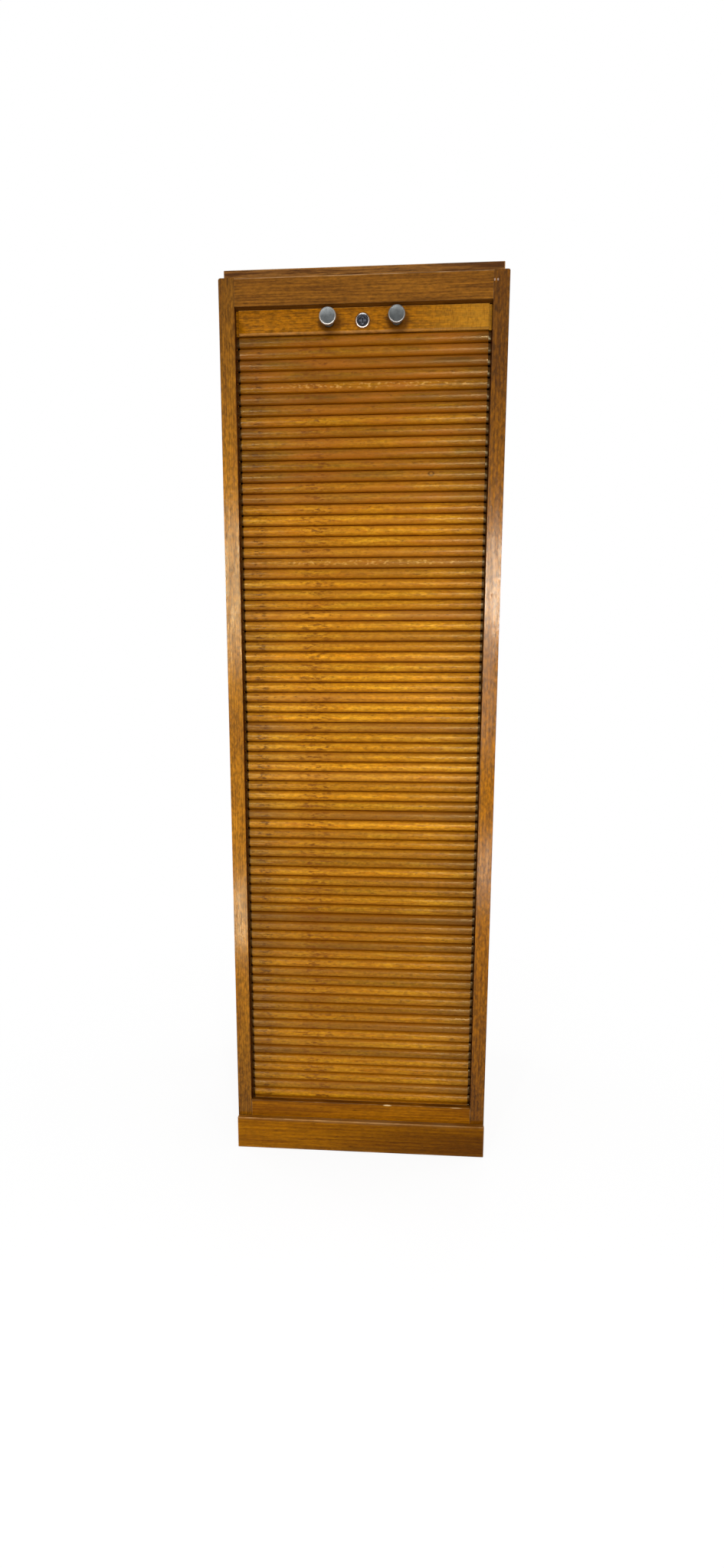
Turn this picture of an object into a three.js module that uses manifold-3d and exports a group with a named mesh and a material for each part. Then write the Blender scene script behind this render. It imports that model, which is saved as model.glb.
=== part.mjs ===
// A tall, narrow filing cabinet in varnished oak, closed by a roll shutter of half-round slats glued to
// canvas. The shutter opens downwards: it runs in tracks cut in the sides, turns at the foot, passes
// under the floor panel and climbs behind the false back. Units are millimetres, +Z is up, the front
// faces -Y, and the origin is the middle of the footprint on the ground.
import * as THREE from 'three';
import { mergeVertices } from 'three/addons/utils/BufferGeometryUtils.js';
import Module from 'manifold-3d';

const wasm = await Module();
wasm.setup();

// Carcass
const cabinetHeight = 1589;
const cabinetWidth = 480;
const bodyDepth = 390;
const frameThickness = 26;
const stileWidth = 60;
const topRailHeight = 92;
const middleRailHeight = 70;
const bottomRailHeight = 112;
const panelThickness = 7;
const panelTongue = 8;
const topBoardThickness = 16;
const topBoardInset = 7.5;
const topBoardSetback = 8;

// Front: plinth, sill and header, each seen between or in front of the stiles
const plinthHeight = 65;
const plinthProjection = 10;
const sillReveal = 32;
const sillThickness = 9.4;
const sillFoot = 16;
const headerHeight = 44;
const headerDepth = 34;

// Shutter
const visibleSlats = 77;
const hiddenSlats = 6;
const slatThickness = 9;
const slatValley = 3;
const slatShoulder = 5;
const slatSetback = 1;
const tongueThickness = 4.6;
const tongueNotch = 1;
const trackWidth = 5.8;
const trackDepth = 8;
const tongueEndPlay = 1;
const bendRadius = 50;
const runHeight = 27;
const rearRunway = 12;
const canvasThickness = 0.8;
const canvasMargin = 9;

// Lead rail, the board at the top of the shutter that carries the knobs and the lock
const leadHeight = 39;
const leadThickness = 18;
const leadRecess = 10;
const leadStop = 0.6;
const battenRebate = 8;
const battenThickness = 6;
const fittingLine = 17.2;

// Knobs and their screws
const knobSpacing = 113.6;
const knobLength = 19.5;
const knobRadius = 14;
const knobNeckRadius = 6;
const knobBaseRadius = 8.5;
const knobBoreDepth = 12;
const knobScrewRadius = 2;
const knobScrewHeadRadius = 4.2;
const knobScrewHeadHeight = 2.4;

// Lock: a cylinder with its collar, and a hook on the plug's end that swings up over the strike plate
const collarRadius = 11.7;
const collarProud = 3;
const barrelRadius = 8.7;
const plugRadius = 6.2;
const plugInset = 1.4;
const keywayWidth = 1.8;
const keywayHeight = 8.6;
const keywayDepth = 5;
const lockPocketDepth = 8.5;
const lockCaseLeft = 33;
const lockCaseRight = 17;
const lockCaseWall = 1.5;
const hookHubRadius = 6.5;
const hookArmWidth = 8;
const hookThickness = 2.5;
const hookBarb = 5;
const hookBarbHeight = 3.4;
const hookBoreRadius = 2.3;
const hookScrewRadius = 2;
const hookScrewLength = 8;
const hookScrewHeadRadius = 3.6;
const hookScrewHeadHeight = 2;
const lockScrewInset = 3.7;
const lockScrewDrop = 5;
const smallScrewRadius = 1.5;
const smallScrewHeadRadius = 3;
const smallScrewHeadHeight = 1.8;
const smallScrewLength = 12;
const strikeLeft = 34;
const strikeRight = 24;
const strikeDepth = 18;
const strikeThickness = 1.5;
const strikeScrewInset = 6;
const mortiseRoof = 1.5;

// Inside
const floorThickness = 12;
const housingDepth = 4;
const falseBackThickness = 8;
const falseBackRunway = 9;
const shelfCount = 5;
const shelfThickness = 12;
const shelfSetback = 36;
const cleatHeight = 18;
const cleatThickness = 14;

// Back
const backRailThickness = 18;
const backTopRailHeight = 80;
const backMiddleRailHeight = 70;
const backBottomRailHeight = 76;
const backPanelThickness = 6;

// Clearances: seatGap between pieces that touch, runGap round what slides or turns
const seatGap = 0.3;
const runGap = 0.3;
const overrun = 1;
const roundSteps = 24;
const bendSteps = 12;

// Levels and places worked out from the sizes above, from the top board down to the slats' pitch
const front = -(bodyDepth + plinthProjection) / 2 + plinthProjection;
const back = front + bodyDepth;
const halfWidth = cabinetWidth / 2;
const halfOpening = halfWidth - frameThickness;
const frameTop = cabinetHeight - topBoardThickness - seatGap;
const headerBottom = frameTop - headerHeight;
const leadTop = headerBottom - leadStop;
const shutterTop = leadTop - leadHeight;
const sillTop = plinthHeight + sillReveal;
const slatPitch = (shutterTop - sillTop) / visibleSlats;
const leadFace = front + leadRecess;
const leadBack = leadFace + leadThickness;
const slatFace = leadFace + slatSetback;
const slatBack = slatFace + slatThickness;
const trackFront = slatFace + slatValley + seatGap + tongueThickness / 2;
const trackBack = back - backRailThickness - rearRunway;
const fittingZ = shutterTop + fittingLine;
const floorTop = sillTop;
const falseBackRear = trackBack - falseBackRunway;

// Finishes: colour, roughness and metalness of each material
const finishes = {
  frameOak: [0x8a5a26, 0.42, 0],
  dullOak: [0x7d5a33, 0.5, 0],
  slatOak: [0xa87430, 0.35, 0],
  topOak: [0x7a4a28, 0.45, 0],
  plainOak: [0xb08a55, 0.65, 0],
  plywood: [0xb59468, 0.75, 0],
  canvas: [0xa89a7c, 0.95, 0],
  aluminium: [0x9a9c9a, 0.35, 0.9],
  nickel: [0xc9c4bd, 0.2, 1],
  darkBrass: [0x5a4a35, 0.4, 0.9],
  steel: [0x8c8c88, 0.4, 0.9],
};

const cabinet = new THREE.Group();
cabinet.name = 'tambour_cabinet';

function place(name, geometry, finish) {
  const [color, roughness, metalness] = finishes[finish];
  const mesh = new THREE.Mesh(geometry, new THREE.MeshStandardMaterial({ color, roughness, metalness }));
  mesh.name = name;
  cabinet.add(mesh);
}

// Solids for cutting and joining
function toSolid(geometry) {
  const bare = geometry.clone();
  bare.deleteAttribute('normal');
  bare.deleteAttribute('uv');
  const merged = mergeVertices(bare);
  const vertProperties = new Float32Array(merged.attributes.position.array);
  const triVerts = new Uint32Array(merged.index.array);
  return new wasm.Manifold(new wasm.Mesh({ numProp: 3, vertProperties, triVerts }));
}

function toGeometry(solid) {
  const { vertProperties, triVerts } = solid.getMesh();
  const geometry = new THREE.BufferGeometry();
  geometry.setAttribute('position', new THREE.BufferAttribute(vertProperties, 3));
  geometry.setIndex(new THREE.BufferAttribute(triVerts, 1));
  geometry.computeVertexNormals();
  return geometry;
}

function cut(geometry, tools) {
  return toGeometry(tools.reduce((solid, tool) => solid.subtract(toSolid(tool)), toSolid(geometry)));
}

function join(first, ...others) {
  return toGeometry(others.reduce((solid, other) => solid.add(toSolid(other)), toSolid(first)));
}

// A block is given by its three spans, each a low and a high value
function block({ x, y, z }) {
  const geometry = new THREE.BoxGeometry(x[1] - x[0], y[1] - y[0], z[1] - z[0]);
  return geometry.translate((x[0] + x[1]) / 2, (y[0] + y[1]) / 2, (z[0] + z[1]) / 2);
}

function around(middle, size) {
  return [middle - size / 2, middle + size / 2];
}

function widened([low, high], by) {
  return [low - by, high + by];
}

function grown({ x, y, z }, by) {
  return { x: widened(x, by), y: widened(y, by), z: widened(z, by) };
}

function onSide([low, high], side) {
  return side > 0 ? [low, high] : [-high, -low];
}

// An outline in depth and height, given its thickness along the width
function widthways(outline, [low, high]) {
  const geometry = new THREE.ExtrudeGeometry(outline, {
    depth: high - low,
    bevelEnabled: false,
    curveSegments: bendSteps,
  });
  const turn = new THREE.Matrix4().makeBasis(
    new THREE.Vector3(0, 1, 0),
    new THREE.Vector3(0, 0, 1),
    new THREE.Vector3(1, 0, 0),
  );
  return geometry.applyMatrix4(turn).translate(low, 0, 0);
}

// A turned piece on an axis that runs along the depth; its profile is radius and distance from y
function turned(profile, { x, y, z }) {
  const points = profile.map(([radius, along]) => new THREE.Vector2(radius, along));
  return new THREE.LatheGeometry(points, roundSteps).translate(x, y, z);
}

function rod(radius, x, [low, high], z) {
  const length = high - low;
  return turned([[0, 0], [radius, 0], [radius, length], [0, length]], { x, y: low, z });
}

// The track is one groove on each side: down the front, round the foot, back under the floor, up the rear
function trackOutline() {
  const half = trackWidth / 2;
  const bendZ = runHeight + bendRadius;
  const frontBendY = trackFront + bendRadius;
  const rearBendY = trackBack - bendRadius;
  const outer = bendRadius + half;
  const inner = bendRadius - half;
  const outline = new THREE.Shape();
  outline.moveTo(trackFront - half, headerBottom);
  outline.lineTo(trackFront - half, bendZ);
  outline.absarc(frontBendY, bendZ, outer, Math.PI, Math.PI * 1.5, false);
  outline.absarc(rearBendY, bendZ, outer, Math.PI * 1.5, Math.PI * 2, false);
  outline.lineTo(trackBack + half, frameTop + overrun);
  outline.lineTo(trackBack - half, frameTop + overrun);
  outline.absarc(rearBendY, bendZ, inner, 0, -Math.PI / 2, true);
  outline.absarc(frontBendY, bendZ, inner, -Math.PI / 2, -Math.PI, true);
  outline.lineTo(trackFront + half, headerBottom);
  outline.closePath();
  return outline;
}

function track(side) {
  return widthways(trackOutline(), onSide([halfOpening - overrun, halfOpening + trackDepth], side));
}

// Spans of the pieces that are housed in their neighbours
const floorPanel = {
  x: around(0, 2 * (halfOpening + housingDepth - seatGap)),
  y: [leadBack + 2 * slatSetback, falseBackRear - falseBackThickness - seatGap],
  z: [floorTop - floorThickness, floorTop],
};
const falseBack = {
  x: floorPanel.x,
  y: [falseBackRear - falseBackThickness, falseBackRear],
  z: [floorTop - floorThickness, frameTop - seatGap],
};
const sideFrameInner = [bottomRailHeight, frameTop - topRailHeight];
const middleRailZ = (sideFrameInner[0] + sideFrameInner[1]) / 2;
const middleRail = around(middleRailZ, middleRailHeight);
const sidePanelX = around(halfWidth - frameThickness / 2, panelThickness);
const sidePanelY = widened([front + stileWidth, back - stileWidth], panelTongue);
const sidePanels = {
  upper: widened([middleRail[1], sideFrameInner[1]], panelTongue),
  lower: widened([sideFrameInner[0], middleRail[0]], panelTongue),
};

// Sides: two stiles, three rails and two flat panels each
function buildSide(word, side) {
  const thickness = onSide([halfOpening, halfWidth], side);
  const panels = Object.entries(sidePanels).map(([level, z]) => [
    level,
    { x: onSide(sidePanelX, side), y: sidePanelY, z },
  ]);
  const housings = [floorPanel, falseBack, ...panels.map(([, span]) => span)];
  const cuts = [track(side), ...housings.map((span) => block(grown(span, seatGap)))];
  const railY = [front + stileWidth + seatGap, back - stileWidth - seatGap];
  const members = {
    front_stile: [[front, front + stileWidth], [0, frameTop]],
    rear_stile: [[back - stileWidth, back], [0, frameTop]],
    top_rail: [railY, [frameTop - topRailHeight, frameTop]],
    middle_rail: [railY, middleRail],
    bottom_rail: [railY, [0, bottomRailHeight]],
  };
  for (const [member, [y, z]] of Object.entries(members)) {
    const finish = member === 'front_stile' ? 'frameOak' : 'dullOak';
    place(`${word}_${member}`, cut(block({ x: thickness, y, z }), cuts), finish);
  }
  for (const [level, span] of panels) {
    place(`${word}_${level}_panel`, block(span), 'dullOak');
  }
}
buildSide('left', -1);
buildSide('right', 1);

// Front: the plinth board is planted on, the sill and header sit between the stiles
const betweenStiles = around(0, 2 * (halfOpening - seatGap));
place('plinth_board', block({
  x: around(0, cabinetWidth),
  y: [front - plinthProjection, front - seatGap],
  z: [0, plinthHeight],
}), 'frameOak');
place('sill_rail', block({
  x: betweenStiles,
  y: [front, front + sillThickness],
  z: [sillFoot, sillTop],
}), 'frameOak');

// The hook is drawn upright, as it stands when locked, and its swing gives the strike its slot
const hookFront = leadBack - lockPocketDepth + 2 * runGap;
const hookY = [hookFront, hookFront + hookThickness];
const barbUnder = headerBottom + strikeThickness + 2 * runGap - fittingZ;
const hookReach = barbUnder + hookBarbHeight;
const hookSweep = Math.hypot(hookReach, hookArmWidth / 2 + hookBarb);
const strikeRise = headerBottom - fittingZ;
const slotLeft = Math.sqrt(hookSweep ** 2 - strikeRise ** 2) + 2 * runGap;
const strikeSlot = {
  x: [-slotLeft, hookArmWidth / 2 + 2 * runGap],
  y: widened(hookY, 2 * runGap),
  z: [headerBottom - overrun, headerBottom + strikeThickness + overrun],
};
const mortise = {
  x: [-slotLeft, hookArmWidth / 2 + hookBarb + mortiseRoof],
  y: strikeSlot.y,
  z: [headerBottom, fittingZ + hookSweep + mortiseRoof],
};
const strikeMiddle = (hookY[0] + hookY[1]) / 2;
const strikePlate = {
  x: [-strikeLeft, strikeRight],
  y: around(strikeMiddle, strikeDepth),
  z: [headerBottom, headerBottom + strikeThickness],
};

// A countersunk screw that points up, its head flush with z
function countersunk(x, y, z, extra) {
  const head = smallScrewHeadRadius + extra;
  const shank = smallScrewRadius + extra;
  const neck = smallScrewHeadHeight + extra;
  const tip = smallScrewLength + extra;
  const points = [[0, -extra], [head, -extra], [head, 0], [shank, neck], [shank, tip], [0, tip]]
    .filter(([, along], i, all) => i === 0 || along !== all[i - 1][1] || all[i][0] !== all[i - 1][0])
    .map(([radius, along]) => new THREE.Vector2(radius, along));
  return new THREE.LatheGeometry(points, roundSteps / 2).rotateX(Math.PI / 2).translate(x, y, z);
}

const strikeScrews = [
  ['left', [strikeScrewInset - strikeLeft, strikeMiddle, headerBottom + seatGap / 2]],
  ['right', [strikeRight - strikeScrewInset, strikeMiddle, headerBottom + seatGap / 2]],
];
const strikeBores = strikeScrews.map(([, [x, y, z]]) => countersunk(x, y, z, seatGap));
place('header_rail', cut(block({
  x: betweenStiles,
  y: [front, front + headerDepth],
  z: [headerBottom, frameTop],
}), [
  block({
    x: widened(strikePlate.x, seatGap),
    y: widened(strikePlate.y, seatGap),
    z: [headerBottom - overrun, headerBottom + strikeThickness + seatGap],
  }),
  block(mortise),
  ...strikeBores,
]), 'dullOak');
place('strike_plate', cut(block(strikePlate), [block(strikeSlot), ...strikeBores]), 'steel');
for (const [word, [x, y, z]] of strikeScrews) {
  place(`strike_screw_${word}`, countersunk(x, y, z, 0), 'steel');
}

place('top_board', block({
  x: around(0, cabinetWidth - 2 * topBoardInset),
  y: [front + topBoardSetback, back],
  z: [cabinetHeight - topBoardThickness, cabinetHeight],
}), 'topOak');

// Inside: floor panel, false back, and shelves that lie on screwed cleats
place('floor_panel', block(floorPanel), 'plainOak');
place('false_back', block(falseBack), 'plywood');
const bayHeight = (frameTop - floorTop) / (shelfCount + 1);
for (let i = 1; i <= shelfCount; i += 1) {
  const shelfBottom = floorTop + i * bayHeight - shelfThickness / 2;
  const y = [front + shelfSetback, falseBack.y[0] - seatGap];
  const z = [shelfBottom, shelfBottom + shelfThickness];
  place(`shelf_${i}`, block({ x: betweenStiles, y, z }), 'plainOak');
  for (const [word, side] of [['left', -1], ['right', 1]]) {
    const x = onSide([halfOpening - seatGap - cleatThickness, halfOpening - seatGap], side);
    const cleatZ = [shelfBottom - seatGap - cleatHeight, shelfBottom - seatGap];
    place(`cleat_${i}_${word}`, block({ x, y, z: cleatZ }), 'plainOak');
  }
}

// Back: three rails and two plywood panels set in grooves of the rails
const backRailY = [back - backRailThickness, back];
const backPanelY = around(back - backRailThickness / 2, backPanelThickness);
const backRails = {
  rear_top_rail: [frameTop - backTopRailHeight, frameTop],
  rear_middle_rail: around((frameTop - backTopRailHeight + sillFoot + backBottomRailHeight) / 2,
    backMiddleRailHeight),
  rear_bottom_rail: [sillFoot, sillFoot + backBottomRailHeight],
};
const backPanels = {
  upper: widened([backRails.rear_middle_rail[1], backRails.rear_top_rail[0]], panelTongue),
  lower: widened([backRails.rear_bottom_rail[1], backRails.rear_middle_rail[0]], panelTongue),
};
const backGrooves = Object.values(backPanels).map((z) => block({
  x: widened(betweenStiles, overrun),
  y: widened(backPanelY, seatGap),
  z: widened(z, seatGap),
}));
for (const [name, z] of Object.entries(backRails)) {
  place(name, cut(block({ x: betweenStiles, y: backRailY, z }), backGrooves), 'plainOak');
}
for (const [level, z] of Object.entries(backPanels)) {
  place(`back_${level}_panel`, block({ x: betweenStiles, y: backPanelY, z }), 'plywood');
}

// A point of the shutter: how far down the curtain it lies, and how far behind the middle of the track
function trackPoint(down, behind) {
  const bendZ = runHeight + bendRadius;
  const straight = shutterTop - bendZ;
  const quarter = bendRadius * Math.PI / 2;
  const radius = bendRadius - behind;
  if (down <= straight) {
    return new THREE.Vector2(trackFront + behind, shutterTop - down);
  }
  if (down >= straight + quarter) {
    return new THREE.Vector2(trackFront + bendRadius + down - straight - quarter, runHeight + behind);
  }
  const turn = (down - straight) / bendRadius;
  return new THREE.Vector2(
    trackFront + bendRadius - radius * Math.cos(turn),
    bendZ - radius * Math.sin(turn),
  );
}

// The slats' section: for each slat, places down its height and how deep they lie, as shares
const slatShares = [[0, 1], [0.08, 0.5], [0.3, 0], [0.7, 0], [0.92, 0.5]];
const tongueShares = [[0, 1], [0.06, 0], [0.94, 0]];
const slatCount = visibleSlats + hiddenSlats;

function curtainOutline(shares, crown, depth, rear) {
  const points = [];
  for (let i = 0; i < slatCount; i += 1) {
    for (const [along, share] of shares) {
      points.push(trackPoint((i + along) * slatPitch + seatGap, crown + share * depth));
    }
  }
  points.push(trackPoint(slatCount * slatPitch, crown + depth));
  for (let i = slatCount; i >= visibleSlats; i -= 0.5) {
    points.push(trackPoint(i * slatPitch, rear));
  }
  points.push(trackPoint(seatGap, rear));
  return new THREE.Shape(points.reverse());
}

const crownOffset = slatFace - trackFront;
const rearOffset = slatBack - trackFront;
const tongueReach = halfOpening + trackDepth - tongueEndPlay;
const slatReach = halfOpening - slatShoulder;
const tongueOutline = curtainOutline(tongueShares, -tongueThickness / 2, tongueNotch, tongueThickness / 2);
place('slat_curtain', join(
  widthways(curtainOutline(slatShares, crownOffset, slatValley, rearOffset), [-slatReach, slatReach]),
  widthways(tongueOutline, [slatReach - overrun, tongueReach]),
  widthways(tongueOutline, [-tongueReach, overrun - slatReach]),
), 'slatOak');

// The canvas is glued behind the slats and clamped by a batten in a rebate of the lead rail
const canvasFront = rearOffset + seatGap;
const canvasBack = canvasFront + canvasThickness;
const canvasTop = battenRebate - seatGap;
const canvasPoints = [];
for (let i = slatCount; i >= visibleSlats; i -= 0.5) {
  canvasPoints.push(trackPoint(i * slatPitch, canvasFront));
}
canvasPoints.push(trackPoint(-canvasTop, canvasFront), trackPoint(-canvasTop, canvasBack));
for (let i = visibleSlats; i <= slatCount; i += 0.5) {
  canvasPoints.push(trackPoint(i * slatPitch, canvasBack));
}
const canvasReach = slatReach - canvasMargin;
place('canvas_backing', widthways(new THREE.Shape(canvasPoints), [-canvasReach, canvasReach]), 'canvas');
const rebateFront = trackFront + rearOffset;
place('canvas_batten', block({
  x: around(0, 2 * canvasReach),
  y: [rebateFront + 2 * seatGap + canvasThickness, rebateFront + 2 * seatGap + canvasThickness + battenThickness],
  z: [shutterTop + seatGap, shutterTop + battenRebate - seatGap],
}), 'plainOak');

// Lead rail: a board as long as the slats, with tongues in the tracks, bored for the knobs and pocketed
// for the lock
const pocketFront = leadBack - lockPocketDepth;
const lockCase = {
  x: [-lockCaseLeft, lockCaseRight],
  y: [pocketFront + seatGap, leadBack],
  z: [shutterTop + battenRebate + seatGap, leadTop - seatGap],
};
const knobX = [-1, 1].map((side) => [side < 0 ? 'left' : 'right', side * knobSpacing / 2]);
const lockScrewX = [['left', lockScrewInset - lockCaseLeft], ['right', lockCaseRight - lockScrewInset]];
const lockScrewY = [leadBack + seatGap - smallScrewLength, leadBack + seatGap];
const lockScrewZ = leadTop - lockScrewDrop;
const leadBoardX = around(0, 2 * slatReach);
const leadBoard = join(
  block({ x: leadBoardX, y: [leadFace, leadBack], z: [shutterTop, leadTop] }),
  block({
    x: around(0, 2 * tongueReach),
    y: around(trackFront, tongueThickness),
    z: [shutterTop, leadTop],
  }),
);
place('lead_rail', cut(leadBoard, [
  block({
    x: widened(leadBoardX, overrun),
    y: [rebateFront, leadBack + overrun],
    z: [shutterTop - overrun, shutterTop + battenRebate],
  }),
  block({
    x: widened(lockCase.x, seatGap),
    y: [pocketFront, leadBack + overrun],
    z: [shutterTop + battenRebate - overrun, leadTop + overrun],
  }),
  rod(barrelRadius + seatGap, 0, [leadFace - overrun, leadBack], fittingZ),
  ...knobX.map(([, x]) => rod(knobScrewRadius + seatGap, x, widened([leadFace, leadBack], overrun), fittingZ)),
  ...lockScrewX.map(([, x]) => rod(smallScrewRadius + seatGap, x, widened(lockScrewY, seatGap), lockScrewZ)),
]), 'frameOak');

// Knobs: turned aluminium discs on a waisted neck, each held by a screw from behind
const knobProfileShares = [
  [0, 1, 0], [0.08, 1, 0], [0.2, 0, 0], [0.62, 0, 0], [0.72, 0, 0.55], [0.76, 0, 0.92],
  [0.82, 0, 1], [0.92, 0, 1], [0.98, 0, 0.86], [1, 0, 0.8],
];
for (const [word, x] of knobX) {
  const bore = knobScrewRadius + seatGap;
  const outside = knobProfileShares.map(([along, base, head]) => [
    knobNeckRadius + base * (knobBaseRadius - knobNeckRadius) + head * (knobRadius - knobNeckRadius),
    knobLength * (1 - along),
  ]);
  const hollow = [[bore, knobLength], [bore, knobLength - knobBoreDepth], [0, knobLength - knobBoreDepth]];
  const profile = [[0, 0], ...outside.reverse(), ...hollow];
  place(`knob_${word}`, turned(profile, { x, y: leadFace - seatGap - knobLength, z: fittingZ }), 'aluminium');
  const tip = leadFace - seatGap - knobBoreDepth + seatGap;
  const shankEnd = leadBack + seatGap - tip;
  const screw = [
    [0, 0], [knobScrewRadius, 0], [knobScrewRadius, shankEnd], [knobScrewHeadRadius, shankEnd],
    [knobScrewHeadRadius, shankEnd + knobScrewHeadHeight], [0, shankEnd + knobScrewHeadHeight],
  ];
  place(`knob_screw_${word}`, turned(screw, { x, y: tip, z: fittingZ }), 'steel');
}

// Lock: collar and barrel in one, the plug, and the hook that a screw holds on the plug's end
const plugFace = leadFace - collarProud + plugInset;
const plugBore = plugRadius + runGap;
const collarBack = collarProud - seatGap;
const barrelEnd = collarBack + leadThickness - lockPocketDepth;
place('lock_collar', turned([
  [plugBore, 0], [collarRadius - plugInset / 2, 0], [collarRadius, plugInset / 2],
  [collarRadius, collarBack], [barrelRadius, collarBack],
  [barrelRadius, barrelEnd], [plugBore, barrelEnd],
  [plugBore, 0],
], { x: 0, y: leadFace - collarProud, z: fittingZ }), 'nickel');
const hookScrewY = [hookY[1] + seatGap - hookScrewLength, hookY[1] + seatGap];
place('lock_plug', cut(rod(plugRadius, 0, [plugFace, hookY[0] - seatGap], fittingZ), [
  block({
    x: around(0, keywayWidth),
    y: [plugFace - overrun, plugFace + keywayDepth],
    z: around(fittingZ, keywayHeight),
  }),
  rod(hookScrewRadius + seatGap, 0, [hookScrewY[0] - seatGap, hookY[1]], fittingZ),
]), 'darkBrass');
const hookOutline = new THREE.Shape();
const armHalf = hookArmWidth / 2;
const hubStart = Math.acos(armHalf / hookHubRadius);
hookOutline.moveTo(-armHalf, hookReach);
hookOutline.lineTo(-armHalf, hookHubRadius * Math.sin(hubStart));
hookOutline.absarc(0, 0, hookHubRadius, Math.PI - hubStart, 2 * Math.PI + hubStart, false);
hookOutline.lineTo(armHalf, barbUnder);
hookOutline.lineTo(armHalf + hookBarb, barbUnder);
hookOutline.lineTo(armHalf + hookBarb, barbUnder + hookBarbHeight / 2);
hookOutline.lineTo(armHalf, hookReach);
hookOutline.closePath();
const hookBody = new THREE.ExtrudeGeometry(hookOutline, {
  depth: hookThickness,
  bevelEnabled: false,
  curveSegments: bendSteps,
});
hookBody.rotateX(Math.PI / 2).rotateY(-Math.PI / 2).translate(0, hookY[1], fittingZ);
place('lock_hook', cut(hookBody, [
  rod(hookBoreRadius, 0, widened(hookY, overrun), fittingZ),
]), 'steel');
place('lock_hook_screw', turned([
  [0, 0], [hookScrewRadius, 0], [hookScrewRadius, hookScrewLength],
  [hookScrewHeadRadius, hookScrewLength], [hookScrewHeadRadius, hookScrewLength + hookScrewHeadHeight],
  [0, hookScrewLength + hookScrewHeadHeight],
], { x: 0, y: hookScrewY[0], z: fittingZ }), 'steel');
place('lock_case', cut(block(lockCase), [
  block({
    x: [lockCase.x[0] + lockCaseWall, lockCase.x[1] - lockCaseWall],
    y: [pocketFront - overrun, leadBack - lockCaseWall],
    z: [lockCase.z[0] + lockCaseWall, leadTop + overrun],
  }),
  ...lockScrewX.map(([, x]) => rod(smallScrewRadius + seatGap, x, widened(lockScrewY, overrun), lockScrewZ)),
]), 'steel');
for (const [word, x] of lockScrewX) {
  const length = smallScrewLength;
  const screw = [
    [0, 0], [smallScrewRadius, 0], [smallScrewRadius, length], [smallScrewHeadRadius, length],
    [smallScrewHeadRadius, length + smallScrewHeadHeight], [0, length + smallScrewHeadHeight],
  ];
  place(`lock_screw_${word}`, turned(screw, { x, y: lockScrewY[0], z: lockScrewZ }), 'steel');
}

export default cabinet;
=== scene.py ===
import math
import random

import bmesh
import bpy
from mathutils import Matrix, Vector


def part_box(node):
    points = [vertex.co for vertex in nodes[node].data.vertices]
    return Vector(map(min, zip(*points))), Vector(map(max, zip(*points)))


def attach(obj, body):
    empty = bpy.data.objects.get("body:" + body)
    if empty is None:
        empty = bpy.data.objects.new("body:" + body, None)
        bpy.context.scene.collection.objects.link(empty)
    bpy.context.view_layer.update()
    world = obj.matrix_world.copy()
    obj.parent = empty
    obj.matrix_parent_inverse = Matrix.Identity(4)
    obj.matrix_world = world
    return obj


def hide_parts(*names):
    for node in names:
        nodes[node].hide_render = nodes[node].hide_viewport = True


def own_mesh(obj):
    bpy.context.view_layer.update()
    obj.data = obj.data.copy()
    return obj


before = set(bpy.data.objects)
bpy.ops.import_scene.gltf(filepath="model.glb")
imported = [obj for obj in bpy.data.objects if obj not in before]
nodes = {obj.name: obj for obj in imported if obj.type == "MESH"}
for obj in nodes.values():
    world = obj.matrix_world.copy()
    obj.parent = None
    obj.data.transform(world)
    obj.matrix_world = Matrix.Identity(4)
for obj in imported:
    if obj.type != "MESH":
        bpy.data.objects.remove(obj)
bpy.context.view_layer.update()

# Front stiles: two upright oak boards, 26 mm wide seen from the front, which carry the shutter's
# tracks on their inner faces. They are planed, their arrises are eased by hand and the tops of the
# outer corners are rounded more. Honey-coloured varnish covers them.


def add(tree, kind, inputs, **settings):
    """A shader node with its inputs, by name or in order, linked or set."""
    node = tree.nodes.new("ShaderNode" + kind)
    for key, value in settings.items():
        setattr(node, key, value)
    pairs = inputs.items() if isinstance(inputs, dict) else enumerate(inputs)
    for key, value in pairs:
        if isinstance(value, bpy.types.NodeSocket):
            tree.links.new(value, node.inputs[key])
        elif value is not None:
            node.inputs[key].default_value = value
    return node


def total(tree, first, second, **settings):
    return add(tree, "Math", [first, second], operation="ADD", **settings).outputs[0]


def product(tree, first, second):
    return add(tree, "Math", [first, second], operation="MULTIPLY").outputs[0]


def unsigned(tree, value):
    return add(tree, "Math", [value], operation="ABSOLUTE").outputs[0]


def sloped(tree, value, low, high, start=0.0, end=1.0):
    """The value, turned from the span low to high into the span start to end."""
    return add(tree, "MapRange", [value, low, high, start, end]).outputs[0]


def mixed(tree, share, first, second, blend="MIX"):
    """Two colours in one."""
    mix = add(tree, "Mix", {0: share, 6: first, 7: second}, data_type="RGBA", blend_type=blend)
    return mix.outputs[2]


def brightened(tree, colour, factor):
    """A colour, with all its channels times one factor."""
    return add(tree, "VectorMath", {0: colour, "Scale": factor}, operation="SCALE").outputs[0]


def opaque(colour, factor=1.0):
    """A colour times a factor, as a colour socket takes it."""
    return (*(channel * factor for channel in colour), 1.0)


def object_place(tree):
    return add(tree, "TexCoord", []).outputs["Object"]


def stored(tree, name, output="Fac"):
    """What the mesh keeps under a name: a number, or a place with the output Vector."""
    return add(tree, "Attribute", [], attribute_name=name).outputs[output]


def split(tree, vector):
    """The three coordinates of a place."""
    return add(tree, "SeparateXYZ", [vector]).outputs


def stretched_noise(tree, place, scale, detail=2.0, roughness=0.5):
    """Noise on coordinates that are scaled along, across and through the grain."""
    mapped = add(tree, "Mapping", {"Vector": place, "Scale": scale}).outputs[0]
    settings = {"Vector": mapped, "Scale": 1.0, "Detail": detail, "Roughness": roughness}
    return add(tree, "TexNoise", settings).outputs[0]


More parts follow.
